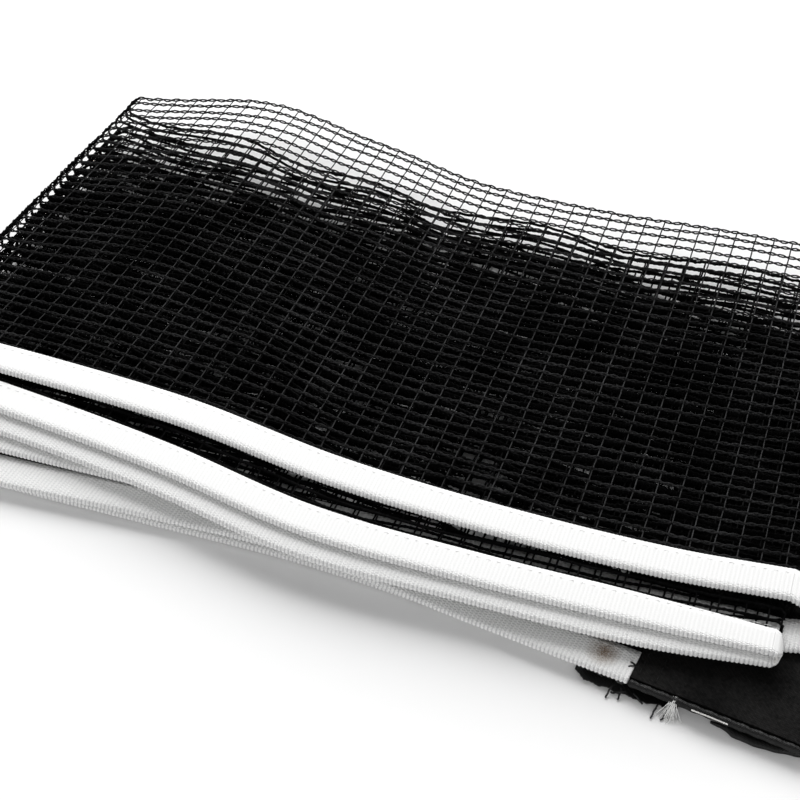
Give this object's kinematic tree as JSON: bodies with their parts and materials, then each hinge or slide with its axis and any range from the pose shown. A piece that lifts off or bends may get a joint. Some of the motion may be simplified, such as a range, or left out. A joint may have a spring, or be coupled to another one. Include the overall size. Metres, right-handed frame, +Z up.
{
  "type": "table tennis net",
  "caption": "Knotless mesh table tennis net with a ribbed white headband and black post sleeves, folded flat for storage.",
  "frame": {"origin": "centre of the folded pack's footprint, on the surface that it lies on", "axes": "+X along the pack to the folds and sleeves on its right, +Y from the headband to the net's bottom edge, +Z up"},
  "size_m": [0.3198, 0.2009, 0.0156],
  "materials": {
    "netting": "matte",
    "headband": "matte",
    "cord": "matte",
    "sleeve": "matte",
    "piping": "matte"
  },
  "bodies": {
    "bottom_leaf": {"netting_panel_1": "netting", "headband_panel_1": "headband", "tension_cord_1": "cord", "netting_panel_6": "netting", "headband_panel_6": "headband", "tension_cord_6": "cord", "post_sleeve_1": "sleeve", "post_sleeve_2": "sleeve", "sleeve_piping_1": "piping", "sleeve_piping_2": "piping", "netting_fold_1": "netting", "headband_fold_1": "headband", "cord_fold_1": "cord", "netting_fold_5": "netting", "headband_fold_5": "headband", "cord_fold_5": "cord"},
    "middle_leaf": {"netting_panel_2": "netting", "headband_panel_2": "headband", "tension_cord_2": "cord", "netting_panel_5": "netting", "headband_panel_5": "headband", "tension_cord_5": "cord", "netting_fold_2": "netting", "headband_fold_2": "headband", "cord_fold_2": "cord", "netting_fold_4": "netting", "headband_fold_4": "headband", "cord_fold_4": "cord"},
    "top_leaf": {"netting_panel_3": "netting", "headband_panel_3": "headband", "tension_cord_3": "cord", "netting_panel_4": "netting", "headband_panel_4": "headband", "tension_cord_4": "cord", "netting_fold_3": "netting", "headband_fold_3": "headband", "cord_fold_3": "cord"}
  },
  "joints": [
    {"name": "left_fold", "type": "hinge", "parent": "bottom_leaf", "child": "middle_leaf", "pos_m": [-0.1586, 0, 0.0054], "axis": [-0.045, -0.999, 0], "range_deg": [0, 180], "deforming": ["netting_fold_1", "headband_fold_1", "cord_fold_1", "netting_fold_5", "headband_fold_5", "cord_fold_5"]},
    {"name": "right_fold", "type": "hinge", "parent": "middle_leaf", "child": "top_leaf", "pos_m": [0.1285, 0, 0.011], "axis": [-0.1009, 0.9949, 0], "range_deg": [0, 180], "deforming": ["netting_fold_2", "headband_fold_2", "cord_fold_2", "netting_fold_4", "headband_fold_4", "cord_fold_4"]}
  ]
}
